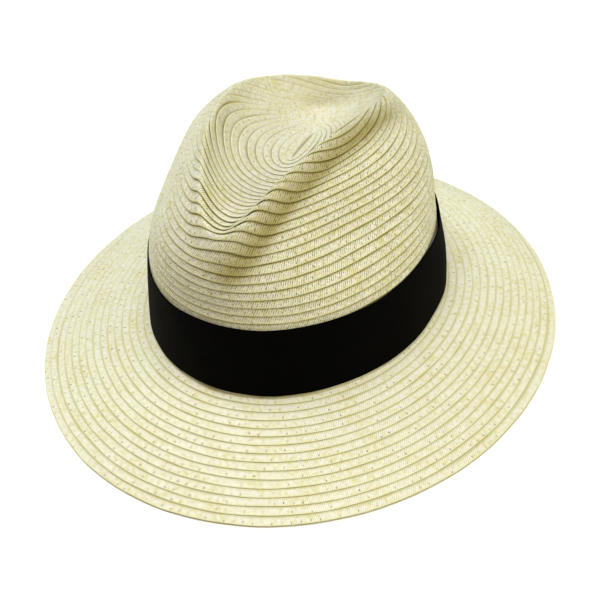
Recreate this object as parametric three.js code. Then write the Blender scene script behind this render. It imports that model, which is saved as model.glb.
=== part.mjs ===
// Safari hat: a wide-brimmed hat sewn from one long straw braid, with a creased crown and a plain
// ribbon band.
//
// Millimetres, +Z up. The edge of the brim rests on Z = 0, the front of the hat points to -Y and
// the wearer's left to +X. Angles go round the hat in radians, from the front towards +X.

import * as THREE from 'three';

const { clamp, smoothstep } = THREE.MathUtils;

// Overall sizes
const HEAD_HALF_WIDTH = 88;      // crown's foot, outer face, along X
const HEAD_HALF_LENGTH = 100;    // crown's foot, outer face, along Y
const WALL = 1.6;                // sewn straw braid
const GAP = 0.3;                 // between pieces that touch on the real hat

// Brim
const BRIM_WIDTH = 76;           // along the straw, from the crown's foot to the edge
const BRIM_DROP = 25.5;          // the edge lies this far below the crown's foot
const EDGE_FLAT = 1.5;           // width of the edge's flat underside
const EDGE_TOP = 1.3;            // height of the upper face at the edge
const COLLAR_HEIGHT = 6;         // the brim's straw turned up inside the band
const COLLAR_BEND = 1.5;         // length of straw in each half of that turn
// How much of the drop comes at once: 1 is a straight slope, 0 starts level
const EARLY_DROP = { mean: 0.44, front: 0.51, ends: -0.22 };
const FOOT_Y = 1.1;              // the brim reaches further at the front than at the back

// The open dome that the crown is creased from
const DOME_HEIGHT = 134.2;
const DOME_STRAIGHT = 58.4;      // height of its straight wall
const DOME_TAPER = 0.097;        // lean of that wall, radians
const DOME_POWER = 2.24;         // 2 is an elliptic top, more is squarer
const DOME_LEAN = 6.5;           // its tip lies this far behind the middle
const DOME_STEPS = { wall: 12, top: 80 };

// Above a nearly level surface the dome is folded down through it, which makes the crease
const CREASE = {
  turn: 0.095,                   // about the upright, radians
  level: 117,
  tilt: 0.052,                   // the level's slope down to the back
  fall: 0.0016,                  // its curvature along the hat
  rise: 0.0067,                  // and across it
  riseFront: 0.0056,             // more of that at the front, less at the back
  twist: 0.041,                  // at the back it also slopes up to the wearer's left
  vee: 0.2,                      // and to both sides of the middle, as a rounded V
  veeBottom: 15,
  twistLength: 40,
  noseStart: 45,                 // this far in front of the middle
  noseFall: 0.0096,              // the level falls more
  depth: 1.24,                   // 1 mirrors the dome, more is deeper
  ridge: 2.2,                    // roundness of the ridges
  rollHeight: 5.6,               // the ridges' raised roll, which fades to the back
  rollWidth: 5.6,
  rollEnd: 40,
  tipBack: 8.3,                  // the folded tip is pushed back
  tipTurn: 0.095,                // and turned, radians
  tipHeight: 15.5,               // over a dome this much higher than the level
};

// The pinches, one in each side near the front
const PINCH_LEFT = { depth: 15, y: -50.7, z: 91.9 };
const PINCH_RIGHT = { depth: 12.9, y: -43.4, z: 96.6 };
const PINCH_LENGTH = 52.5;
const PINCH_HEIGHT = 28;
const PINCH_REACH = 30;          // it fades over this distance from the middle
const SIDE_BLEND = 8;            // the two pinches blend over this distance
const SOFT_START = 42;           // below this height the crown keeps its plain oval
const SOFT_END = 72;

// Ribbon band
const BAND_HEIGHT = 46;
const BAND_THICKNESS = 1.1;
const BAND_START = 1.5;          // above the crown's foot

// Facets
const SIDES = 72;
const CROWN_RINGS = { wall: 3, side: 9, inside: 9 };
const BRIM_RINGS = 4;
const BAND_RINGS = 2;
const RIDGE_HALVINGS = 24;

const FOOT_Z = BRIM_DROP + EDGE_TOP;

/** Outward normal of the head oval, in plan. */
function ovalNormal(angle) {
  const across = Math.sin(angle) / HEAD_HALF_WIDTH;
  const along = -Math.cos(angle) / HEAD_HALF_LENGTH;
  return new THREE.Vector3(across, along, 0).normalize();
}

/** The dome's outline before creasing: how far the straw has come in from the foot's oval and up,
 *  against the length of straw climbed from the foot. */
function makeDome() {
  const lean = Math.tan(DOME_TAPER);
  const capWidth = HEAD_HALF_WIDTH - DOME_STRAIGHT * lean;
  const capHeight = DOME_HEIGHT - DOME_STRAIGHT;
  const outline = [];
  for (let i = 0; i < DOME_STEPS.wall; i += 1) {
    const height = (DOME_STRAIGHT * i) / DOME_STEPS.wall;
    outline.push({ inset: height * lean, height });
  }
  for (let i = 0; i <= DOME_STEPS.top; i += 1) {
    const turn = ((Math.PI / 2) * i) / DOME_STEPS.top;
    const width = capWidth * Math.max(Math.cos(turn), 0) ** (2 / DOME_POWER);
    const height = DOME_STRAIGHT + capHeight * Math.sin(turn) ** (2 / DOME_POWER);
    outline.push({ inset: HEAD_HALF_WIDTH - width, height });
  }
  outline[0].climb = 0;
  for (let i = 1; i < outline.length; i += 1) {
    const [last, next] = [outline[i - 1], outline[i]];
    next.climb = last.climb + Math.hypot(next.inset - last.inset, next.height - last.height);
  }
  // the cap ends on the axis
  outline.at(-1).inset = HEAD_HALF_WIDTH;
  return outline;
}

const dome = makeDome();
const FULL_CLIMB = dome.at(-1).climb;

/** Inset and height of the dome at a length of straw climbed from the foot. */
function domeAt(climb) {
  const next = clamp(dome.findIndex((row) => row.climb >= climb), 1, dome.length - 1);
  const [low, high] = [dome[next - 1], dome[next]];
  const share = clamp((climb - low.climb) / (high.climb - low.climb), 0, 1);
  return {
    inset: THREE.MathUtils.lerp(low.inset, high.inset, share),
    height: THREE.MathUtils.lerp(low.height, high.height, share),
  };
}

/** Place across and along the crease, which is turned a little from the hat's own middle line. */
function creaseFrame(x, y) {
  const [cos, sin] = [Math.cos(CREASE.turn), Math.sin(CREASE.turn)];
  return { across: cos * x + sin * y, along: cos * y - sin * x };
}

/** How far each side is pinched in at a place on the dome. */
function pinchAt(across, along, height) {
  const left = 0.5 + 0.5 * Math.tanh(across / SIDE_BLEND);
  const side = (name) => PINCH_RIGHT[name] + (PINCH_LEFT[name] - PINCH_RIGHT[name]) * left;
  const far = ((along - side('y')) / PINCH_LENGTH) ** 2;
  const up = ((height - side('z')) / PINCH_HEIGHT) ** 2;
  const inward = side('depth') * Math.exp(-far - up) * smoothstep(height, SOFT_START, SOFT_END);
  return (inward * across) / Math.hypot(across, PINCH_REACH);
}

/** Height of the surface that the dome is folded down through. */
function creaseLevel(across, along) {
  const back = clamp(along / CREASE.twistLength, -1, 1.5);
  const nose = Math.max(-along - CREASE.noseStart, 0);
  const vee = Math.hypot(across, CREASE.veeBottom) - CREASE.veeBottom;
  return CREASE.level - CREASE.tilt * along - CREASE.fall * along ** 2
    + (CREASE.rise - CREASE.riseFront * back) * across ** 2
    + (CREASE.vee * vee + CREASE.twist * across) * back
    - CREASE.noseFall * nose ** 2;
}

/** Fold a height down through the level, with a rounded ridge and a raised roll on it. */
function foldDown(level, over, along) {
  const back = smoothstep(along, -CREASE.rollEnd, CREASE.rollEnd);
  const rounded = Math.hypot(over, CREASE.ridge);
  const roll = CREASE.rollHeight * (1 - back) * Math.exp(-((over / CREASE.rollWidth) ** 2));
  return level + (over - rounded) / 2 - (CREASE.depth * (over + rounded)) / 2 + roll;
}

/** A place on the pinched dome, before it is folded: where it comes to lie in plan, how far it lies
 *  along the crease, the level there and its height over that level. */
function domePlace(angle, climb) {
  const { inset, height } = domeAt(climb);
  const domeX = (HEAD_HALF_WIDTH - inset) * Math.sin(angle);
  const y = DOME_LEAN * (height / DOME_HEIGHT) ** 2 - (HEAD_HALF_LENGTH - inset) * Math.cos(angle);
  const before = creaseFrame(domeX, y);
  const x = domeX - pinchAt(before.across, before.along, height);
  const { across, along } = creaseFrame(x, y);
  const level = creaseLevel(across, along);
  const over = height - level;
  const tip = Math.max(over / CREASE.tipHeight, 0) ** 3;
  const place = new THREE.Vector2(x, y)
    .rotateAround(new THREE.Vector2(0, DOME_LEAN), CREASE.tipTurn * tip);
  return { x: place.x, y: place.y + CREASE.tipBack * tip, along, level, over };
}

/** A point on the crown's outer face. */
function crownPoint(angle, climb) {
  const { x, y, along, level, over } = domePlace(angle, climb);
  return new THREE.Vector3(x, FOOT_Y + y, FOOT_Z + foldDown(level, over, along));
}

/** The climb at which the straw crosses the ridge, by halving. */
function ridgeClimb(angle) {
  let [low, high] = [SOFT_START, FULL_CLIMB];
  for (let i = 0; i < RIDGE_HALVINGS; i += 1) {
    const middle = (low + high) / 2;
    if (domePlace(angle, middle).over < 0) {
      low = middle;
    } else {
      high = middle;
    }
  }
  return low;
}

/** A point on the brim's upper face, at a length of straw out from the crown's foot. */
function brimPoint(angle, out) {
  const early = EARLY_DROP.mean + EARLY_DROP.front * Math.cos(angle)
    + EARLY_DROP.ends * Math.cos(2 * angle);
  const share = out / BRIM_WIDTH;
  const startSlope = (BRIM_DROP / BRIM_WIDTH) * early;
  const addedSlope = ((2 * BRIM_DROP) / BRIM_WIDTH) * (1 - early) * share;
  const slopeSquared = startSlope ** 2 + startSlope * addedSlope + addedSlope ** 2 / 3;
  const reach = out * (1 - slopeSquared / 2);
  const drop = BRIM_DROP * (early * share + (1 - early) * share ** 2);
  const x = HEAD_HALF_WIDTH * Math.sin(angle);
  const y = FOOT_Y - HEAD_HALF_LENGTH * Math.cos(angle);
  return ovalNormal(angle).multiplyScalar(reach).add(new THREE.Vector3(x, y, FOOT_Z - drop));
}

/** The brim and its collar as one run of straw: positive outwards, negative up the collar. */
function brimRunPoint(angle, run) {
  const at = (place) => (place >= 0 ? brimPoint(angle, place) : crownPoint(angle, -place));
  if (Math.abs(run) >= COLLAR_BEND) {
    return at(run);
  }
  const bend = new THREE.QuadraticBezierCurve3(at(-COLLAR_BEND), at(0), at(COLLAR_BEND));
  return bend.getPoint((run + COLLAR_BEND) / (2 * COLLAR_BEND));
}

/** Evenly spaced values from first to last. */
function spaced(first, last, steps) {
  return Array.from({ length: steps + 1 }, (_, i) => first + ((last - first) * i) / steps);
}

/** One value for each side of the hat, in a closed ring. */
function ring(pointAt) {
  return Array.from({ length: SIDES }, (_, i) => pointAt((2 * Math.PI * i) / SIDES, i));
}

/** A closed wall. Its outer face runs through the rings, from the lowest or outermost one upwards;
 *  its inner face lies one thickness behind. The last ring may be a slit, whose two sides meet. */
function wallThrough(rings, thickness, { slit = false, flatRings = 0 } = {}) {
  const lastRing = rings.length - 1;
  const corner = (row, side) => {
    const place = (side + SIDES) % SIDES;
    const folded = slit && row === lastRing ? Math.min(place, SIDES - place) : place;
    return row * SIDES + folded;
  };
  const faces = [];
  for (let row = 0; row < lastRing; row += 1) {
    for (let side = 0; side < SIDES; side += 1) {
      const [a, b] = [corner(row, side), corner(row, side + 1)];
      const [c, d] = [corner(row + 1, side + 1), corner(row + 1, side)];
      faces.push(a, b, c, a, c, d);
    }
  }
  const outer = new THREE.BufferGeometry().setFromPoints(rings.flat());
  outer.setIndex(faces);
  outer.computeVertexNormals();

  const points = rings.flat();
  const normals = outer.getAttribute('normal');
  const inner = points.map((point, i) => {
    const normal = new THREE.Vector3().fromBufferAttribute(normals, i);
    const moved = point.clone().addScaledVector(normal, -thickness);
    return i < flatRings * SIDES ? moved.setZ(0) : moved;
  });
  const count = points.length;
  const closed = [...faces];
  for (let i = 0; i < faces.length; i += 3) {
    closed.push(count + faces[i], count + faces[i + 2], count + faces[i + 1]);
  }
  for (let side = 0; side < SIDES; side += 1) {
    const [a, b] = [corner(0, side), corner(0, side + 1)];
    closed.push(b, a, count + a, b, count + a, count + b);
    if (!slit) {
      const [c, d] = [corner(lastRing, side), corner(lastRing, side + 1)];
      closed.push(c, d, count + d, c, count + d, count + c);
    }
  }
  const wall = new THREE.BufferGeometry().setFromPoints([...points, ...inner]);
  wall.setIndex(closed);
  const faceted = wall.toNonIndexed();
  faceted.computeVertexNormals();
  return faceted;
}

/** The crown, open below and closed at the slit that the braid starts from. Its rings follow the
 *  ridge and crowd towards it. */
function makeCrown() {
  const wall = spaced(COLLAR_HEIGHT + GAP, SOFT_START, CROWN_RINGS.wall);
  const side = spaced(1, 0, CROWN_RINGS.side).slice(1);
  const inside = spaced(0, 1, CROWN_RINGS.inside).slice(1);
  const ridge = ring(ridgeClimb);
  const ringAt = (climbAt) => ring((angle, i) => crownPoint(angle, climbAt(ridge[i])));
  return wallThrough([
    ...wall.map((climb) => ringAt(() => climb)),
    ...side.map((away) => ringAt((top) => top + (SOFT_START - top) * away ** 2)),
    ...inside.map((away) => ringAt((top) => top + (FULL_CLIMB - top) * away ** 2)),
  ], WALL, { slit: true });
}

/** The brim, from its flat edge in to the crown's foot and up the collar. */
function makeBrim() {
  const runs = [
    BRIM_WIDTH,
    ...spaced(BRIM_WIDTH - EDGE_FLAT, COLLAR_BEND, BRIM_RINGS),
    0,
    -COLLAR_BEND,
    -COLLAR_HEIGHT,
  ];
  const rings = runs.map((run) => ring((angle) => brimRunPoint(angle, run)));
  return wallThrough(rings, WALL, { flatRings: 2 });
}

/** The ribbon band round the crown's foot. */
function makeBand() {
  const climbs = spaced(BAND_START, BAND_START + BAND_HEIGHT, BAND_RINGS);
  const rings = climbs.map((climb) => ring((angle) => (
    crownPoint(angle, climb).addScaledVector(ovalNormal(angle), GAP + BAND_THICKNESS)
  )));
  return wallThrough(rings, BAND_THICKNESS);
}

function strawMaterial() {
  return new THREE.MeshStandardMaterial({ color: 0xefe8c8, roughness: 0.75, metalness: 0 });
}

function ribbonMaterial() {
  return new THREE.MeshStandardMaterial({ color: 0x0b0b0c, roughness: 0.85, metalness: 0 });
}

function named(name, geometry, material) {
  const mesh = new THREE.Mesh(geometry, material);
  mesh.name = name;
  return mesh;
}

const hat = new THREE.Group();
hat.add(
  named('crown', makeCrown(), strawMaterial()),
  named('brim', makeBrim(), strawMaterial()),
  named('hat_band', makeBand(), ribbonMaterial()),
);

export default hat;
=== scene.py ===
# Safari hat: one long straw braid sewn in a spiral, with a plain ribbon band.
#
# Shapes are worked out in millimetres and turned to metres as they go into a mesh. +Z is up, the
# front of the hat points to -Y and the wearer's left to +X. Angles go round the hat in radians,
# from the front towards +X. "Run" is a length of straw: outwards from the crown's foot, and
# negative up the crown.

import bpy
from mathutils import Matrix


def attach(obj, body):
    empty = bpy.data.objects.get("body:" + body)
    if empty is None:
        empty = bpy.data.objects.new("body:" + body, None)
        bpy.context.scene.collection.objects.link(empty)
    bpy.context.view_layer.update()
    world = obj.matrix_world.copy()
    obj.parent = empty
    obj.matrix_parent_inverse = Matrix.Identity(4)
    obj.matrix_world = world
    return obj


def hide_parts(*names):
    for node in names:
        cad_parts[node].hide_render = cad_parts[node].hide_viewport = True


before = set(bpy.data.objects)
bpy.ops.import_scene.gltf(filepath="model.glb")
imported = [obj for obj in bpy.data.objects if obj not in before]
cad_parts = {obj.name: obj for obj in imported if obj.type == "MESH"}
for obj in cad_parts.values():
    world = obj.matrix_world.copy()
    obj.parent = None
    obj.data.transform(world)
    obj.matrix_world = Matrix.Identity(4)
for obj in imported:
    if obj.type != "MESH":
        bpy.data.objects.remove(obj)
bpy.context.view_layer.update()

import math

import bmesh
import bpy
import numpy as np
from mathutils import Matrix, Vector

MM = 0.001

# ---------------------------------------------------------------- sizes, as the solids have them

HEAD_HALF_WIDTH = 88
HEAD_HALF_LENGTH = 100
BRIM_WIDTH = 76
BRIM_DROP = 25.5
EDGE_TOP = 1.3
EARLY_DROP = {"mean": 0.44, "front": 0.51, "ends": -0.22}
FOOT_Y = 1.1
FOOT_Z = BRIM_DROP + EDGE_TOP
COLLAR_BEND = 1.5

DOME_HEIGHT = 134.2
DOME_STRAIGHT = 58.4
DOME_TAPER = 0.097
DOME_POWER = 2.24
DOME_LEAN = 6.5

CREASE = {
    "turn": 0.095,
    "level": 117,
    "tilt": 0.052,
    "fall": 0.0016,
    "rise": 0.0067,
    "rise_front": 0.0056,
    "twist": 0.041,
    "vee": 0.2,
    "vee_bottom": 15,
    "twist_length": 40,
    "nose_start": 45,
    "nose_fall": 0.0096,
    "depth": 1.24,
    "ridge": 2.2,
    "roll_height": 5.6,
    "roll_width": 5.6,
    "roll_end": 40,
    "tip_back": 8.3,
    "tip_turn": 0.095,
    "tip_height": 15.5,
}
PINCH_LEFT = {"depth": 15, "y": -50.7, "z": 91.9}
PINCH_RIGHT = {"depth": 12.9, "y": -43.4, "z": 96.6}
PINCH_LENGTH = 52.5
PINCH_HEIGHT = 28
PINCH_REACH = 30
SIDE_BLEND = 8
SOFT_START = 42
SOFT_END = 72
SWELL_REACH = 7                      # rows swell where they bend over the ridges, this near them
SWELL_FADE = {"end": 60, "share": 0.6}  # and less towards the back
SWELL_RIGHT = 0.3                    # of the left's, on the wearer's right

# On the wearer's left the straw's roll stands a little prouder than the solid's, with a hollow
# along under it
ROLL_MORE = {"height": 1.5, "over": -1.6, "width": 4.2}
ROLL_HOLLOW = {"depth": 0.6, "over": -9.5, "width": 4.5}

# Painted light: where the straw is made pale, as in full light, on the wearer's right (x and
# climb) and down in the crease. Painted shade: where it is made deep in colour
LIT_X = (-10, 75)
LIT_CLIMB = (45, 100)
LIT_OVER = (0, 7)
LIT_RIGHT = 0.8
DEEP_SHADE = {
    "over": -9,
    "width": 6.5,
    "start": 10,
    "end": 70,
    "turn": -0.05,
    "spread": 0.6,
    "top": 100,
    "low": 62,
    "front": 0.3,
}

# ---------------------------------------------------------------- the hat's surface


def smoothstep(value, start, end):
    share = np.clip((value - start) / (end - start), 0, 1)
    return share * share * (3 - 2 * share)


def make_dome(wall_steps=30, top_steps=400):
    """Climb, inset and height along the dome's outline, before it is creased."""
    lean = math.tan(DOME_TAPER)
    wall = np.linspace(0, DOME_STRAIGHT, wall_steps, endpoint=False)
    turn = np.linspace(0, math.pi / 2, top_steps)
    cap_width = HEAD_HALF_WIDTH - DOME_STRAIGHT * lean
    width = cap_width * np.cos(turn).clip(0) ** (2 / DOME_POWER)
    rise = (DOME_HEIGHT - DOME_STRAIGHT) * np.sin(turn) ** (2 / DOME_POWER)
    inset = np.concatenate([wall * lean, HEAD_HALF_WIDTH - width])
    height = np.concatenate([wall, DOME_STRAIGHT + rise])
    climb = np.concatenate([[0], np.cumsum(np.hypot(np.diff(inset), np.diff(height)))])
    return climb, inset, height


DOME = make_dome()
FULL_CLIMB = DOME[0][-1]


def crease_frame(x, y):
    """Place across and along the crease."""
    cos, sin = math.cos(CREASE["turn"]), math.sin(CREASE["turn"])
    return cos * x + sin * y, cos * y - sin * x


def pinch(across, along, height):
    """How far each side is pinched in at a place on the dome."""
    left = 0.5 + 0.5 * np.tanh(across / SIDE_BLEND)
    depth, y, z = (
        PINCH_RIGHT[name] + (PINCH_LEFT[name] - PINCH_RIGHT[name]) * left
        for name in ("depth", "y", "z")
    )
    near = ((along - y) / PINCH_LENGTH) ** 2 + ((height - z) / PINCH_HEIGHT) ** 2
    inward = depth * np.exp(-near) * smoothstep(height, SOFT_START, SOFT_END)
    return inward * across / np.hypot(across, PINCH_REACH)


def folded_dome(angle, climb):
    """Where the dome's straw comes to lie in plan, how far along the crease, the level there that
    the dome is folded down through, and its height over that level."""
    climbs, insets, heights = DOME
    inset = np.interp(climb, climbs, insets)
    height = np.interp(climb, climbs, heights)
    x = (HEAD_HALF_WIDTH - inset) * np.sin(angle)
    y = DOME_LEAN * (height / DOME_HEIGHT) ** 2 - (HEAD_HALF_LENGTH - inset) * np.cos(angle)
    across, along = crease_frame(x, y)
    x = x - pinch(across, along, height)
    across, along = crease_frame(x, y)

    back = np.clip(along / CREASE["twist_length"], -1, 1.5)
    nose = np.maximum(-along - CREASE["nose_start"], 0)
    vee = np.hypot(across, CREASE["vee_bottom"]) - CREASE["vee_bottom"]
    level = CREASE["level"] - CREASE["tilt"] * along - CREASE["fall"] * along ** 2
    level += (CREASE["rise"] - CREASE["rise_front"] * back) * across ** 2
    level += (CREASE["vee"] * vee + CREASE["twist"] * across) * back
    level -= CREASE["nose_fall"] * nose ** 2

    over = height - level
    tip = np.maximum(over / CREASE["tip_height"], 0) ** 3
    cos, sin = np.cos(CREASE["tip_turn"] * tip), np.sin(CREASE["tip_turn"] * tip)
    behind = y - DOME_LEAN
    x, y = cos * x - sin * behind, DOME_LEAN + sin * x + cos * behind + CREASE["tip_back"] * tip
    return x, y, along, level, over


def left_share(x, y):
    """1 on the wearer's left of the crease, 0 on the right."""
    return 0.5 + 0.5 * np.tanh(crease_frame(x, y)[0] / SIDE_BLEND)


def crown_point(angle, climb):
    """A point on the crown."""
    x, y, along, level, over = folded_dome(angle, climb)
    rounded = np.hypot(over, CREASE["ridge"])
    fade = 1 - smoothstep(along, -CREASE["roll_end"], CREASE["roll_end"])
    roll = CREASE["roll_height"] * np.exp(-((over / CREASE["roll_width"]) ** 2))
    more = np.exp(-(((over - ROLL_MORE["over"]) / ROLL_MORE["width"]) ** 2))
    hollow = np.exp(-(((over - ROLL_HOLLOW["over"]) / ROLL_HOLLOW["width"]) ** 2))
    more = ROLL_MORE["height"] * more - ROLL_HOLLOW["depth"] * hollow
    roll = fade * (roll + left_share(x, y) * more)
    z = level + (over - rounded) / 2 - CREASE["depth"] * (over + rounded) / 2 + roll
    return np.stack([x, FOOT_Y + y, FOOT_Z + z], -1)


def ridge_share(angle, run):
    """1 on the ridges round the front of the crease, fading to 0 away from them."""
    x, y, along, level, over = folded_dome(angle, np.clip(-run, 0, FULL_CLIMB))
    near = np.exp(-((over / SWELL_REACH) ** 2)) * (run < -SOFT_START)
    near = near * (1 - SWELL_FADE["share"] * smoothstep(along, 0, SWELL_FADE["end"]))
    return near * (SWELL_RIGHT + (1 - SWELL_RIGHT) * left_share(x, y))


def lit_share(angle, run):
    """Painted light: where the crown's straw is made palest and its rows hardly show, as in full
    light: down in the crease and on the wearer's right."""
    x, y, along, level, over = folded_dome(angle, np.clip(-run, 0, FULL_CLIMB))
    right = LIT_RIGHT * smoothstep(-x, *LIT_X) * smoothstep(-run, *LIT_CLIMB)
    return np.maximum(smoothstep(over, *LIT_OVER), right) * (run < -SOFT_START)


def deep_shade_share(angle, run):
    """Painted shade: where the crown's straw is made darkest, in the hollow along under the left
    ridge, and low on the front of the wall."""
    x, y, along, level, over = folded_dome(angle, np.clip(-run, 0, FULL_CLIMB))
    hollow = np.exp(-(((over - DEEP_SHADE["over"]) / DEEP_SHADE["width"]) ** 2)) * left_share(x, y)
    hollow = hollow * (1 - smoothstep(along, DEEP_SHADE["start"], DEEP_SHADE["end"]))
    turned = np.angle(np.exp(1j * (angle - DEEP_SHADE["turn"])))
    front = np.exp(-((turned / DEEP_SHADE["spread"]) ** 2)) * smoothstep(run, -DEEP_SHADE["top"], -DEEP_SHADE["low"])
    return (hollow + DEEP_SHADE["front"] * front) * (run < -SOFT_START)


def brim_point(angle, out):
    """A point on the brim's upper face."""
    early = EARLY_DROP["mean"] + EARLY_DROP["front"] * np.cos(angle)
    early = early + EARLY_DROP["ends"] * np.cos(2 * angle)
    share = out / BRIM_WIDTH
    start_slope = BRIM_DROP / BRIM_WIDTH * early
    added_slope = 2 * BRIM_DROP / BRIM_WIDTH * (1 - early) * share
    slope_squared = start_slope ** 2 + start_slope * added_slope + added_slope ** 2 / 3
    reach = out * (1 - slope_squared / 2)
    drop = BRIM_DROP * (early * share + (1 - early) * share ** 2)
    across, along = np.sin(angle) / HEAD_HALF_WIDTH, -np.cos(angle) / HEAD_HALF_LENGTH
    size = np.hypot(across, along)
    x = HEAD_HALF_WIDTH * np.sin(angle) + reach * across / size
    y = FOOT_Y - HEAD_HALF_LENGTH * np.cos(angle) + reach * along / size
    return np.stack([x, y, FOOT_Z - drop], -1)


def hat_point(angle, run):
    """A point on the hat's outer face, with the turn between crown and brim rounded."""
    angle, run = np.broadcast_arrays(angle, run)

    def at(place):
        crown = crown_point(angle, np.clip(-place, 0, FULL_CLIMB))
        return np.where((place < 0)[..., None], crown, brim_point(angle, np.maximum(place, 0)))

    share = ((run + COLLAR_BEND) / (2 * COLLAR_BEND))[..., None]
    low, middle, high = at(0 * run - COLLAR_BEND), at(0 * run), at(0 * run + COLLAR_BEND)
    bend = (1 - share) ** 2 * low + 2 * share * (1 - share) * middle + share ** 2 * high
    return np.where((np.abs(run) < COLLAR_BEND)[..., None], bend, at(run))


def outward(angle, run, turn=0.003, step=0.3):
    """The surface's outward normal."""
    run = np.maximum(run, 2 * step - FULL_CLIMB)
    round_it = hat_point(angle + turn, run) - hat_point(angle - turn, run)
    up = hat_point(angle, run - step) - hat_point(angle, run + step)
    normal = np.cross(round_it, up)
    return normal / np.linalg.norm(normal, axis=-1, keepdims=True)


# ---------------------------------------------------------------- the braid's spiral

# The spiral is followed outwards and down. Turns are counted from the first row clear of the
# band, and each row's outer edge laps over the next row out.
FIRST_ROW = -51.0
CROWN_PITCH = 5.0
HIDDEN_ROWS = 11
BRIM_ROW = 4.5
BRIM_PITCH = 5.05
LAST_TURN = 25.406
LAST_KEYS = {"turns": 1.4, "before": 1.0, "before_run": 73.6, "run": 76.6}  # at the brim's edge
TIP_TURN = -14                       # from here to the tip the rows lap further
TIP_RUN = FIRST_ROW + CROWN_PITCH * TIP_TURN
TIP_PITCH = 3.7
NARROW = TIP_PITCH / CROWN_PITCH     # the braid's width there, as a share
START_TURN = TIP_TURN - 0.5 - math.floor((FULL_CLIMB + TIP_RUN) / TIP_PITCH - 0.5)

ROW_KEYS = [  # turns, run of the row's outer edge
    (START_TURN, TIP_RUN + TIP_PITCH * (START_TURN - TIP_TURN)),
    (TIP_TURN, TIP_RUN),
    (0, FIRST_ROW),
    (HIDDEN_ROWS, BRIM_ROW),
    (LAST_TURN - LAST_KEYS["turns"],
     BRIM_ROW + BRIM_PITCH * (LAST_TURN - LAST_KEYS["turns"] - HIDDEN_ROWS)),
    (LAST_TURN - LAST_KEYS["before"], LAST_KEYS["before_run"]),
    (LAST_TURN, LAST_KEYS["run"]),
]
TUCK_TURNS = 0.07                    # the braid's end goes in under the row before it
TUCK_WIDTH = 5.5

STEP = 1.05                          # between points along the braid
PATH_POINTS = 60000                  # for measuring it
PATH_ACROSS = 2.5                    # from the row's outer edge
LIP_STEPS = 2                        # the edge bulges once in so many steps
STITCH_STEPS = 5
STRAND = 1.3                         # millimetres of braid to a strand


def row_run(turns):
    turn_keys, run_keys = zip(*ROW_KEYS)
    return np.interp(turns, turn_keys, run_keys)


def width_share(turns):
    """The braid's width there, as a share of its width on the wall: narrower in the crease, but
    not where it closes the tip."""
    full = smoothstep(turns, TIP_TURN - 1, TIP_TURN + 1)
    full = full + 1 - smoothstep(turns, START_TURN + 1.2, START_TURN + 2.2)
    return NARROW + (1 - NARROW) * full


def spiral_steps():
    """Turns at evenly spaced steps along the braid."""
    turns = np.linspace(START_TURN, LAST_TURN, PATH_POINTS)
    path = hat_point(-2 * np.pi * turns, row_run(turns) - PATH_ACROSS)
    length = np.concatenate([[0], np.cumsum(np.linalg.norm(np.diff(path, axis=0), axis=1))])
    count = int(length[-1] / STEP)
    return np.interp(np.arange(count + 1) * STEP, length, turns)


STEP_TURNS = spiral_steps()

# ---------------------------------------------------------------- the braid's section

BRAID_HALF = 0.42                    # half its thickness
BRAID_LEAN = 0.18                    # each row leans in under the next
BRIM_FLAT = 0.68                     # the same on the brim, as a share
BRAID_WIDTH = 7.2

# Across from the outer edge, rise in half thicknesses, the edge's relief; then, for the straw's
# colour, shade under the next row, grooves between strands, and the pale middle
SECTION = [
    (0.00, 0.00, 1.0, 0.30, 0.1, 0.0),
    (0.15, 0.62, 1.0, 0.05, 0.2, 0.0),
    (0.50, 0.95, 0.9, 0.00, 0.3, 0.1),
    (1.05, 1.00, 0.5, 0.00, 0.5, 0.5),
    (1.65, 0.95, 0.0, 0.00, 0.8, 0.9),
    (2.40, 1.00, 0.0, 0.00, 1.0, 1.0),
    (3.10, 1.00, 0.0, 0.02, 1.0, 1.0),
    (3.70, 1.00, 0.0, 0.08, 1.0, 0.9),
    (4.20, 1.00, 0.0, 0.32, 1.0, 0.5),
    (4.70, 1.00, 0.0, 0.80, 0.9, 0.0),
    (5.30, 0.95, 0.0, 1.00, 0.6, 0.0),
    (BRAID_WIDTH, 0.30, 0.0, 1.00, 0.4, 0.0),
    (BRAID_WIDTH, -0.30, 0.0, 0.40, 0.4, 0.0),
    (4.80, -1.00, 0.0, 0.05, 0.7, 0.5),
    (2.20, -1.00, 0.0, 0.10, 0.7, 0.7),
    (0.25, -0.65, 0.8, 0.80, 0.3, 0.0),
]
STITCH_COLUMN = 4
LIP_RELIEF = 0.07
LIP_BULGE = 0.09
STITCH_DENT = 0.16
STITCH_LIFT = 0.06
SWELL = 1.0                          # rise of a row's middle on the ridges
ROW_MIDDLE = 1.9
LIT_SHADE = 0.4                     # what the painted light and the brim take off the painted shade and grooves
BRIM_SHADE = 0.68
LIT_GROOVE = 0.5
BRIM_GROOVE = 0.6
LIT_MIDDLE = 0.75                   # and bring the rest of the row nearer to its pale middle, as painted light and on the brim
BRIM_MIDDLE = 0.25
SLANT = 0.55                         # of the strands, along for each millimetre across
UNEVEN = 0.04                        # from one step to the next
SPARE_STEPS = 8                      # left over past the braid's end
WANDER = [(0.11, 61, 0.0), (0.08, 113, 1.3), (0.06, 29, 2.1)]  # of a row: size, wavelength, phase

rng = np.random.default_rng(7)
STEP_UNEVEN = rng.normal(0, UNEVEN, len(STEP_TURNS) + SPARE_STEPS)


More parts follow.
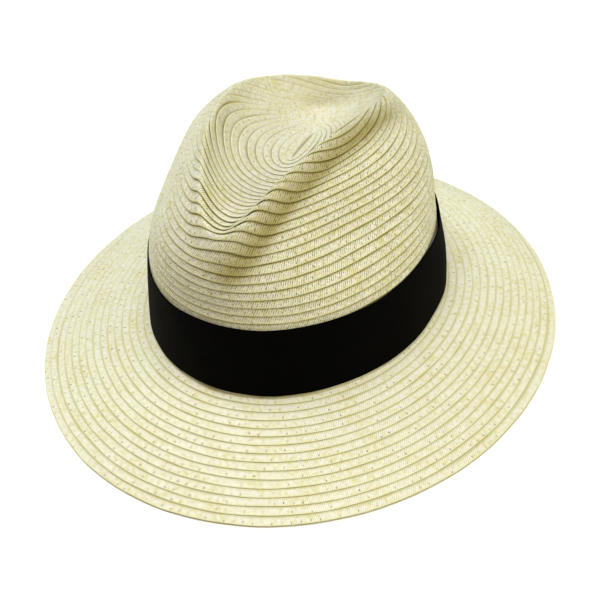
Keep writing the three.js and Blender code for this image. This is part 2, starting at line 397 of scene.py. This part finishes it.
def braid_points(step, column):
    """Points of the braid's skin at whole steps along it and columns of its section."""
    across, rise, lip = np.array(SECTION).T[:3, column]
    cycle = np.cos(step * 2 * np.pi / LIP_STEPS)
    stitch = np.cos(step * 2 * np.pi / STITCH_STEPS)
    across = across - LIP_BULGE * lip * cycle

    turns = STEP_TURNS[step]
    across = across * width_share(turns)
    edge = row_run(turns) + sum(
        size * np.sin(2 * np.pi * step * STEP / wave + phase) for size, wave, phase in WANDER
    )
    tuck = smoothstep(turns, LAST_TURN - TUCK_TURNS, LAST_TURN)
    edge = edge - TUCK_WIDTH * tuck
    across = np.minimum(across, FULL_CLIMB + edge)
    run = edge - across
    angle = -2 * np.pi * turns

    flat = 1 - (1 - BRIM_FLAT) * smoothstep(run, -6, 2)
    lift = flat * (BRAID_HALF * (rise - 1) - BRAID_LEAN * np.maximum(across, 0))
    lift = lift + STEP_UNEVEN[step] * np.abs(rise)
    lift = lift + lip * (LIP_RELIEF * cycle + STITCH_LIFT * (1 - stitch) / 2)
    lift = lift - STITCH_DENT * ((step % STITCH_STEPS == 0) & (column == STITCH_COLUMN))
    hump = np.exp(-(((across - ROW_MIDDLE) / ROW_MIDDLE) ** 2))
    lift = lift + SWELL * hump * ridge_share(angle, run)
    lift = lift - 2 * BRAID_HALF * tuck

    return hat_point(angle, run) + outward(angle, run) * lift[..., None]


SECTION_PLACE = np.concatenate([
    [0],
    np.cumsum([
        math.hypot(b[0] - a[0], BRAID_HALF * (b[1] - a[1]))
        for a, b in zip(SECTION, SECTION[1:] + SECTION[:1])
    ]),
])

# ---------------------------------------------------------------- making meshes


def linear(colour):
    """An sRGB hex colour as linear red, green, blue and alpha."""
    parts = [int(colour[i:i + 2], 16) / 255 for i in (1, 3, 5)]
    return [c / 12.92 if c <= 0.04045 else ((c + 0.055) / 1.055) ** 2.4 for c in parts] + [1]


def grid_mesh(name, columns, rows):
    """A flat grid as a mesh, with each vertex's column and row."""
    bm = bmesh.new()
    bmesh.ops.create_grid(bm, x_segments=columns, y_segments=rows, size=1)
    mesh = bpy.data.meshes.new(name)
    bm.to_mesh(mesh)
    bm.free()
    flat = np.empty(len(mesh.vertices) * 3, np.float32)
    mesh.vertices.foreach_get("co", flat)
    flat = (flat.reshape(-1, 3) + 1) / 2
    return mesh, np.rint(flat[:, 0] * columns).astype(int), np.rint(flat[:, 1] * rows).astype(int)


def lay_out(mesh, points, places):
    """Move the mesh's vertices to points, in millimetres, and give it a UV map of places."""
    mesh.vertices.foreach_set("co", (points * MM).astype(np.float32).ravel())
    corners = np.empty(len(mesh.loops), np.int32)
    mesh.loops.foreach_get("vertex_index", corners)
    layer = mesh.uv_layers.new(name="along_and_across")
    layer.uv.foreach_set("vector", places[corners].astype(np.float32).ravel())


def close_up(mesh):
    """Join the grid's long edges into a tube, close its ends and face it outwards."""
    bm = bmesh.new()
    bm.from_mesh(mesh)
    bmesh.ops.remove_doubles(bm, verts=bm.verts, dist=1e-7)
    bmesh.ops.dissolve_degenerate(bm, edges=bm.edges, dist=1e-7)
    bmesh.ops.holes_fill(bm, edges=[e for e in bm.edges if e.is_boundary], sides=0)
    bmesh.ops.recalc_face_normals(bm, faces=bm.faces)
    bm.to_mesh(mesh)
    bm.free()
    mesh.polygons.foreach_set("use_smooth", [True] * len(mesh.polygons))
    mesh.update()


def add_piece(name, mesh, material, node):
    piece = bpy.data.objects.new(name, mesh)
    bpy.context.scene.collection.objects.link(piece)
    piece.data.materials.append(material)
    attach(piece, "root")
    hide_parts(node)
    return piece


def braid_piece(name, first, last, stride, material, node):
    """A length of the braid between two steps, as a closed flat strip, with the straw's tones,
    painted shade and painted light in a colour attribute."""
    count = (last - first) // stride
    mesh, column, row = grid_mesh(name, count, len(SECTION))
    step = first + column * stride
    lay_out(
        mesh,
        braid_points(step, row % len(SECTION)),
        np.stack([step * STEP, SECTION_PLACE[row]], 1),
    )
    turns = STEP_TURNS[step]
    across = np.array(SECTION)[row % len(SECTION), 0] * width_share(turns)
    tones = np.array(SECTION)[row % len(SECTION), 3:]
    angle, run = -2 * np.pi * turns, row_run(turns) - across
    # painted light where the crown is in full light: less shade and grooves, and a paler row
    lit, brim = lit_share(angle, run), smoothstep(row_run(turns), -4, 4)
    tones[:, 0] *= 1 - BRIM_SHADE * brim - LIT_SHADE * lit
    tones[:, 1] *= 1 - BRIM_GROOVE * brim - LIT_GROOVE * lit
    tones[:, 2] += (1 - tones[:, 2]) * (BRIM_MIDDLE * brim + LIT_MIDDLE * lit)
    # painted shade in the hollow under the left ridge and low on the front of the wall
    deep_shade = deep_shade_share(angle, run)
    tones = np.concatenate([tones, deep_shade[:, None]], 1)
    layer = mesh.color_attributes.new("shade_groove_middle_deep_shade", "FLOAT_COLOR", "POINT")
    layer.data.foreach_set("color", tones.astype(np.float32).ravel())
    close_up(mesh)
    return add_piece(name, mesh, material, node)


# ---------------------------------------------------------------- materials


def start_material(name):
    """An empty material, and the function that adds a node to it: its inputs are set to values or
    linked to outputs, its settings come as keywords, and it gives back one of its outputs."""
    material = bpy.data.materials.new(name)
    material.use_nodes = True
    tree = material.node_tree
    tree.nodes.clear()

    def add(kind, inputs=None, output=0, **settings):
        node = tree.nodes.new("ShaderNode" + kind)
        for setting, value in settings.items():
            setattr(node, setting, value)
        for name, value in (inputs or {}).items():
            socket = node.inputs[name]
            if isinstance(value, bpy.types.NodeSocket):
                tree.links.new(value, socket)
            else:
                socket.default_value = value
        return node.outputs[output] if len(node.outputs) else node

    return material, add


STRAW, WHEAT, ROSE = "#D5D8B4", "#CECB95", "#E0DFD9"
OLIVE, GAP, NEEDLE = "#7E7428", "#675B31", "#55491F"
# tint of the painted shade in the hollow under the left ridge and low on the front wall
DEEP_SHADE_TINT = "#BCB387"
MIDDLE_SHARE = 0.85
GROOVE_DEPTH = 0.9
SHADE_DEPTH = 0.95
HOLE_DEPTH = 0.8
MOTTLE, PATCH, PARTING, SPECK = 16, 2.4, 1.2, 1.1  # sizes of the straw's patterns
HOLE_SHIFT = 0.7                     # a needle hole's centre lies off its place by up to this
HOLE_LENGTH = 0.6


def straw_material():
    """Plaited paper straw: matt and pale. The margins of each row are straw yellow and its middle
    a rosy ivory in patches, with fine uneven grooves between the strands, an olive painted shade
    in under each row, small dark needle holes, and a deeper painted shade in the folds and low on
    the front of the wall. Where the crown is in full light, painted light makes the rows paler and
    their shade and grooves fainter."""
    material, add = start_material("plaited_paper_straw")
    along_across = add("UVMap", uv_map="along_and_across")
    along = add("SeparateXYZ", {0: along_across})
    across = add("SeparateXYZ", {0: along_across}, "Y")
    tones = add("Attribute", output="Color", attribute_name="shade_groove_middle_deep_shade")
    deep_shade = add("Attribute", output="Alpha", attribute_name="shade_groove_middle_deep_shade")
    shade = add("SeparateColor", {0: tones})
    groove = add("SeparateColor", {0: tones}, "Green")
    middle = add("SeparateColor", {0: tones}, "Blue")
    place = add("TexCoord", output="Object")

    # strands lie side by side across the braid, a little slanted, and part here and there
    slanted = add("Math", {0: across, 1: SLANT, 2: along}, operation="MULTIPLY_ADD")
    strands = add("Math", {0: slanted, 1: STRAND}, operation="DIVIDE")
    strand = add("Math", {0: strands}, operation="ROUND")
    off = add("Math", {0: strands, 1: strand}, operation="SUBTRACT")
    off = add("Math", {0: off}, operation="ABSOLUTE")
    gap = add("MapRange", {"Value": off, "From Min": 0.2, "From Max": 0.45},
              interpolation_type="SMOOTHSTEP")
    parted = add("TexNoise", {"Vector": place, "Scale": 1 / (PARTING * MM), "Detail": 1.0})
    parted = add("MapRange", {"Value": parted, "From Min": 0.36, "From Max": 0.6})
    gap = add("Math", {0: gap, 1: parted}, operation="MULTIPLY")
    gap = add("Math", {0: gap, 1: groove}, operation="MULTIPLY")

    # needle holes, out of line and some deeper than others
    stitches = add("Math", {0: along, 1: STEP * STITCH_STEPS}, operation="DIVIDE")
    stitch = add("Math", {0: stitches}, operation="ROUND")
    luck = add("TexWhiteNoise", {"W": stitch}, noise_dimensions="1D")
    shift = add("TexWhiteNoise", {"W": stitch}, "Color", noise_dimensions="1D")
    beside = add("Math", {0: stitches, 1: stitch}, operation="SUBTRACT")
    beside = add("Math", {0: beside, 1: STEP * STITCH_STEPS}, operation="MULTIPLY")
    above = add("Math", {0: across, 1: float(SECTION_PLACE[STITCH_COLUMN])}, operation="SUBTRACT")
    both = add("CombineXYZ", {"X": beside, "Y": above})
    shift = add("VectorMath", {0: shift, 1: (HOLE_SHIFT,) * 3}, operation="SUBTRACT")
    both = add("VectorMath", {0: both, 1: shift}, operation="SUBTRACT")
    both = add("VectorMath", {0: both, 1: (1.0, HOLE_LENGTH, 0.0)}, operation="MULTIPLY")
    away = add("VectorMath", {0: both}, "Value", operation="LENGTH")
    hole = add("MapRange", {"Value": away, "From Min": 0.6, "From Max": 0.15},
               interpolation_type="SMOOTHSTEP")
    luck = add("MapRange", {"Value": luck, "From Min": 0.3})
    hole = add("Math", {0: hole, 1: luck}, operation="MULTIPLY")

    # straw yellow, mottled, with rosy ivory patches along the middle of the row
    mottle = add("TexNoise", {"Vector": place, "Scale": 1 / (MOTTLE * MM), "Detail": 3.0})
    yellow = add("MapRange", {"Value": mottle, "From Min": 0.35, "From Max": 0.7})
    colour = add("Mix", {"Factor": yellow, "A": linear(STRAW), "B": linear(WHEAT)}, "Result",
                 data_type="RGBA")
    patches = add("TexNoise", {"Vector": place, "Scale": 1 / (PATCH * MM), "Detail": 2.0})
    patch = add("MapRange", {"Value": patches, "From Min": 0.34, "From Max": 0.56,
                             "To Max": MIDDLE_SHARE})
    # the middle channel also holds painted light: rows paler where the crown is in full light
    patch = add("Math", {0: patch, 1: middle}, operation="MULTIPLY")
    colour = add("Mix", {"Factor": patch, "A": colour, "B": linear(ROSE)}, "Result",
                 data_type="RGBA")
    in_gap = add("Math", {0: gap, 1: GROOVE_DEPTH}, operation="MULTIPLY")
    colour = add("Mix", {"Factor": in_gap, "A": colour, "B": linear(GAP)}, "Result",
                 data_type="RGBA")
    in_shade = add("Math", {0: shade, 1: SHADE_DEPTH}, operation="MULTIPLY")
    colour = add("Mix", {"Factor": in_shade, "A": colour, "B": linear(OLIVE)}, "Result",
                 data_type="RGBA")
    in_hole = add("Math", {0: hole, 1: HOLE_DEPTH}, operation="MULTIPLY")
    colour = add("Mix", {"Factor": in_hole, "A": colour, "B": linear(NEEDLE)}, "Result",
                 data_type="RGBA")
    # painted shade: darker in the hollow under the left ridge and low on the front of the wall
    colour = add("Mix", {"Factor": deep_shade, "A": colour, "B": linear(DEEP_SHADE_TINT)}, "Result",
                 data_type="RGBA", blend_type="MULTIPLY")

    # rounded strands with a fibrous skin
    specks = add("TexNoise", {"Vector": place, "Scale": 1 / (SPECK * MM), "Detail": 2.0})
    relief = add("Math", {0: gap, 1: -1.0, 2: specks}, operation="MULTIPLY_ADD")
    relief = add("Math", {0: hole, 1: -0.8, 2: relief}, operation="MULTIPLY_ADD")
    bump = add("Bump", {"Strength": 0.8, "Distance": 0.2 * MM, "Height": relief})
    rough = add("MapRange", {"Value": specks, "To Min": 0.55, "To Max": 0.8})
    shader = add("BsdfPrincipled", {
        "Base Color": colour,
        "Roughness": rough,
        "IOR": 1.45,
        "Specular IOR Level": 0.3,
        "Normal": bump,
    })
    add("OutputMaterial", {"Surface": shader})
    return material


def ribbon_material():
    """Black grosgrain ribbon, ribbed across its width: deep black, with a faint olive sheen."""
    material, add = start_material("black_grosgrain_ribbon")
    place = add("UVMap", uv_map="along_and_across")
    along = add("SeparateXYZ", {0: place})
    across = add("SeparateXYZ", {0: place}, "Y")
    ribs = add("Math", {0: along, 1: 2 * math.pi / RIB}, operation="MULTIPLY")
    rib = add("Math", {0: ribs}, operation="SINE")
    threads = add("Math", {0: across, 1: 2 * math.pi / THREAD}, operation="MULTIPLY")
    thread = add("Math", {0: threads}, operation="SINE")
    relief = add("Math", {0: thread, 1: THREAD_SHARE, 2: rib}, operation="MULTIPLY_ADD")
    bump = add("Bump", {"Strength": 0.4, "Distance": 0.1 * MM, "Height": relief})
    where = add("TexCoord", output="Object")
    fade = add("TexNoise", {"Vector": where, "Scale": 1 / (RIBBON_MOTTLE * MM), "Detail": 2.0})
    colour = add("Mix", {"Factor": fade, "A": linear("#010102"), "B": linear("#040403")}, "Result",
                 data_type="RGBA")
    rough = add("MapRange", {"Value": rib, "From Min": -1.0, "To Min": 0.9, "To Max": 0.75})
    shader = add("BsdfPrincipled", {
        "Base Color": colour,
        "Roughness": rough,
        "IOR": 1.45,
        "Specular IOR Level": 0.03,
        "Sheen Weight": 0.012,
        "Sheen Roughness": 0.35,
        "Sheen Tint": linear("#B8B48C"),
        "Normal": bump,
    })
    add("OutputMaterial", {"Surface": shader})
    return material


# ---------------------------------------------------------------- the ribbon band

BAND_BOTTOM = 1.8                    # above the crown's foot
BAND_TOP = 47.5
BAND_THICKNESS = 0.7
BAND_STAND = 0.25                    # off the straw
RIB = 0.9                            # one rib of the ribbon
THREAD = 0.5
THREAD_SHARE = 0.3                   # of a rib's relief
RIBBON_MOTTLE = 30
BAND_BELLY = 0.5                     # the middle of its height stands out
BAND_DRIFT = [(0.35, 3, 0.7), (0.25, 7, 2.0)]  # up and down: size, number round, phase
BAND_SINK = -0.2                     # no ripple sinks further than this
RIPPLE_SHARE = 0.8
LEAN_SHARE = 3
BAND_STEP = 1.6
BAND_SECTION = [  # share of the height, distance out in thicknesses
    (0.000, 0.1), (0.000, 0.9), (0.012, 1.0), (0.06, 1.0), (0.14, 1.0), (0.24, 1.0), (0.36, 1.0),
    (0.50, 1.0), (0.64, 1.0), (0.76, 1.0), (0.86, 1.0), (0.94, 1.0), (0.988, 1.0), (1.000, 0.9),
    (1.000, 0.1), (0.94, 0.0), (0.64, 0.0), (0.36, 0.0), (0.06, 0.0),
]
LAP = {"turn": 1.95, "width": 0.24, "lift": 2.6}  # where the ribbon's end is lapped over
BAND_WAVES = [  # soft ripples round the band: height, number round, phase, lean with height
    (0.30, 5, 0.4, 0.8), (0.22, 9, 2.0, -1.2), (0.12, 17, 1.1, 2.0),
]


def band_points(turn, column):
    share, out = np.array(BAND_SECTION).T[:, column]
    angle = 2 * np.pi * turn
    ripple = sum(
        size * np.sin(count * angle + phase + lean * share * LEAN_SHARE)
        for size, count, phase, lean in BAND_WAVES
    )
    belly = BAND_BELLY * np.sin(np.pi * share)
    climb = BAND_BOTTOM + (BAND_TOP - BAND_BOTTOM) * share
    climb = climb + sum(size * np.sin(count * angle + phase) for size, count, phase in BAND_DRIFT)
    lap = LAP["lift"] * np.exp(-(((angle - LAP["turn"]) / LAP["width"]) ** 2)) * (0.5 + belly)
    lift = BAND_STAND + BAND_THICKNESS * out + belly + lap
    lift = lift + np.maximum(ripple, BAND_SINK) * RIPPLE_SHARE
    return hat_point(angle, -climb) + outward(angle, -climb) * lift[..., None]


def make_band(material):
    """The ribbon round the crown's foot, a closed ring."""
    length = 2 * np.pi * math.sqrt((HEAD_HALF_WIDTH ** 2 + HEAD_HALF_LENGTH ** 2) / 2)
    count = int(length / BAND_STEP)
    mesh, column, row = grid_mesh("hat_ribbon", count, len(BAND_SECTION))
    heights = [place for place, _ in BAND_SECTION] + [BAND_SECTION[0][0]]
    across = np.concatenate([[0], np.cumsum(np.abs(np.diff(heights)))]) * (BAND_TOP - BAND_BOTTOM)
    lay_out(
        mesh,
        band_points(column / count, row % len(BAND_SECTION)),
        np.stack([column / count * length, across[row]], 1),
    )
    close_up(mesh)
    piece = add_piece("hat_ribbon", mesh, material, "hat_band")
    return piece, length


# ---------------------------------------------------------------- building the hat

straw = straw_material()
ribbon = ribbon_material()

PIECES = [  # name, run where it ends, steps to a face, node that it stands for
    ("crown_braid_tip", -122, 1, "crown"),
    ("crown_braid_side", -76, 1, "crown"),
    ("crown_braid_wall", -45, 1, "crown"),
    ("crown_braid_foot", -6, 4, "crown"),
    ("brim_braid_inner", 30, 1, "brim"),
    ("brim_braid_middle", 55, 1, "brim"),
    ("brim_braid_outer", 80, 1, "brim"),
]

step_runs = row_run(STEP_TURNS)
first_step = 0
for name, end_run, stride, node in PIECES:
    last_step = int(np.searchsorted(step_runs, end_run))
    last_step = min(last_step, len(STEP_TURNS) - SPARE_STEPS)
    last_step -= (last_step - first_step) % stride
    piece = braid_piece(name, first_step, last_step, stride, straw, node)
    print(name, len(piece.data.polygons), "faces,", round((last_step - first_step) * STEP), "mm")
    first_step = last_step

band, band_length = make_band(ribbon)

# ---------------------------------------------------------------- floor, lights and camera


FLOOR_REACH = 60                     # metres from the hat, so that the far edge is the horizon
AIM_HEIGHT = 0.06


def plain_floor():
    bm = bmesh.new()
    bmesh.ops.create_grid(bm, x_segments=1, y_segments=1, size=FLOOR_REACH)
    mesh = bpy.data.meshes.new("floor")
    bm.to_mesh(mesh)
    bm.free()
    floor = bpy.data.objects.new("floor", mesh)
    bpy.context.scene.collection.objects.link(floor)
    material, add = start_material("white_paper_backdrop")
    place = add("TexCoord", output="Object")
    grain = add("TexNoise", {"Vector": place, "Scale": 3.0})
    colour = add("Mix", {"Factor": grain, "A": linear("#F6F6F5"), "B": linear("#F9F9F8")},
                 "Result", data_type="RGBA")
    shader = add("BsdfPrincipled", {
        "Base Color": colour, "Roughness": 0.9, "Specular IOR Level": 0.2,
    })
    add("OutputMaterial", {"Surface": shader})
    mesh.materials.append(material)


def soft_light(name, azimuth, elevation, power, colour, distance=1.7, size=1.0):
    """A square soft light, aimed at the hat. Azimuth 0 is in front of the hat, 90 at +X."""
    light = bpy.data.lights.new(name, "AREA")
    light.shape = "SQUARE"
    light.size = size
    light.energy = power
    light.color = linear(colour)[:3]
    lamp = bpy.data.objects.new(name, light)
    bpy.context.scene.collection.objects.link(lamp)
    a, e = math.radians(azimuth), math.radians(elevation)
    back = Vector((math.sin(a) * math.cos(e), -math.cos(a) * math.cos(e), math.sin(e)))
    aim = Vector((0, 0, AIM_HEIGHT))
    lamp.matrix_world = Matrix.Translation(aim + back * distance) @ (
        back.to_track_quat("Z", "Y").to_matrix().to_4x4()
    )


def high_light(strength, colour, spread):
    """Broad soft light straight down."""
    light = bpy.data.lights.new("overhead", "SUN")
    light.energy = strength
    light.color = linear(colour)[:3]
    light.angle = math.radians(spread)
    bpy.context.scene.collection.objects.link(bpy.data.objects.new("overhead", light))


def set_world(brightness):
    """Plain pale surround like the far floor, which lights the hat only faintly itself."""
    world = bpy.data.worlds.new("studio")
    bpy.context.scene.world = world
    world.use_nodes = True
    background = world.node_tree.nodes["Background"]
    background.inputs["Color"].default_value = linear("#ECEFF2")
    seen = world.node_tree.nodes.new("ShaderNodeLightPath")
    shown = world.node_tree.nodes.new("ShaderNodeMath")
    shown.operation = "MAXIMUM"
    shown.inputs[1].default_value = brightness
    world.node_tree.links.new(seen.outputs["Is Camera Ray"], shown.inputs[0])
    world.node_tree.links.new(shown.outputs[0], background.inputs["Strength"])


# The camera, round the middle of the crown's foot
VIEW_AZIMUTH = 0.592
VIEW_ELEVATION = 0.708
VIEW_ROLL = -0.096
VIEW_DISTANCE = 775
SENSOR = 36
LENS = 74.2
SHIFT = (0.0025, -0.0247)


def make_camera():
    a, e = VIEW_AZIMUTH, VIEW_ELEVATION
    back = Vector((math.sin(a) * math.cos(e), -math.cos(a) * math.cos(e), math.sin(e)))
    right = Vector((math.cos(a), math.sin(a), 0))
    up = back.cross(right)
    tilted_right = math.cos(VIEW_ROLL) * right + math.sin(VIEW_ROLL) * up
    tilted_up = math.cos(VIEW_ROLL) * up - math.sin(VIEW_ROLL) * right
    place = Vector((0, FOOT_Y, FOOT_Z)) * MM + back * VIEW_DISTANCE * MM
    data = bpy.data.cameras.new("camera")
    data.sensor_width = SENSOR
    data.lens = LENS
    data.shift_x, data.shift_y = SHIFT
    data.clip_start, data.clip_end = 0.01, 100
    camera = bpy.data.objects.new("camera", data)
    bpy.context.scene.collection.objects.link(camera)
    camera.matrix_world = Matrix((
        (tilted_right.x, tilted_up.x, back.x, place.x),
        (tilted_right.y, tilted_up.y, back.y, place.y),
        (tilted_right.z, tilted_up.z, back.z, place.z),
        (0, 0, 0, 1),
    ))
    bpy.context.scene.camera = camera


plain_floor()
set_world(0.01)
high_light(2.75, "#F8FBFF", 40)
soft_light("left", -90, 35, 10.4, "#FFFFE8")
soft_light("right", 90, 33, 10.6, "#FDFACA")
soft_light("warm", 40, 50, 6.8, "#FFD9A8")
make_camera()
bpy.context.scene.view_settings.view_transform = "Standard"
